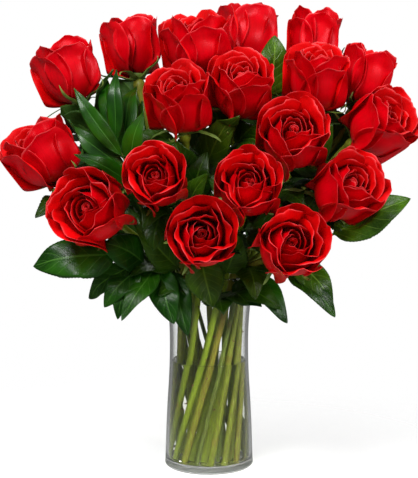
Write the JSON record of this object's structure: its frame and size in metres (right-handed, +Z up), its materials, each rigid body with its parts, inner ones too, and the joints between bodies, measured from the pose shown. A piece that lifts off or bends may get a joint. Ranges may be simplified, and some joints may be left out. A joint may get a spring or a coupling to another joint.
{
  "type": "roses in a vase",
  "caption": "Round bunch of red roses with salal and ruscus greens, its stems spiralling through a waisted clear glass vase part filled with water.",
  "frame": {"origin": "centre of the vase's round foot on the surface that it stands on", "axes": "+Z up along the vase's axis, -Y towards the viewer, whose right is +X"},
  "size_m": [0.4345, 0.3352, 0.4906],
  "materials": {
    "petals": "velvety deep red petals, satin and a little pinker on their backs",
    "rose_stem": "olive green stems, hips, sepals and toothed rose leaves with a soft gloss",
    "salal": "leathery mid green leaves with a gloss",
    "ruscus": "smooth dark green leaves with a gloss",
    "clear_glass": "clear, smooth and thin walled with a thicker floor",
    "water": "clear water with a level surface"
  },
  "bodies": {
    "root": {"bloom_01": "petals", "bloom_02": "petals", "bloom_03": "petals", "bloom_04": "petals", "bloom_05": "petals", "bloom_06": "petals", "bloom_07": "petals", "bloom_08": "petals", "bloom_09": "petals", "bloom_10": "petals", "bloom_11": "petals", "bloom_12": "petals", "bloom_13": "petals", "bloom_14": "petals", "bloom_15": "petals", "bloom_16": "petals", "bloom_17": "petals", "bloom_18": "petals", "stem_01": "rose_stem", "stem_02": "rose_stem", "stem_03": "rose_stem", "stem_04": "rose_stem", "stem_05": "rose_stem", "stem_06": "rose_stem", "stem_07": "rose_stem", "stem_08": "rose_stem", "stem_09": "rose_stem", "stem_10": "rose_stem", "stem_11": "rose_stem", "stem_12": "rose_stem", "stem_13": "rose_stem", "stem_14": "rose_stem", "stem_15": "rose_stem", "stem_16": "rose_stem", "stem_17": "rose_stem", "stem_18": "rose_stem", "ruscus_left": "ruscus", "ruscus_back": "ruscus", "salal_left": "salal", "salal_right": "salal", "salal_top": "salal", "salal_back_left": "salal", "salal_back_right": "salal", "vase": "clear_glass", "water": "water"}
  },
  "joints": []
}
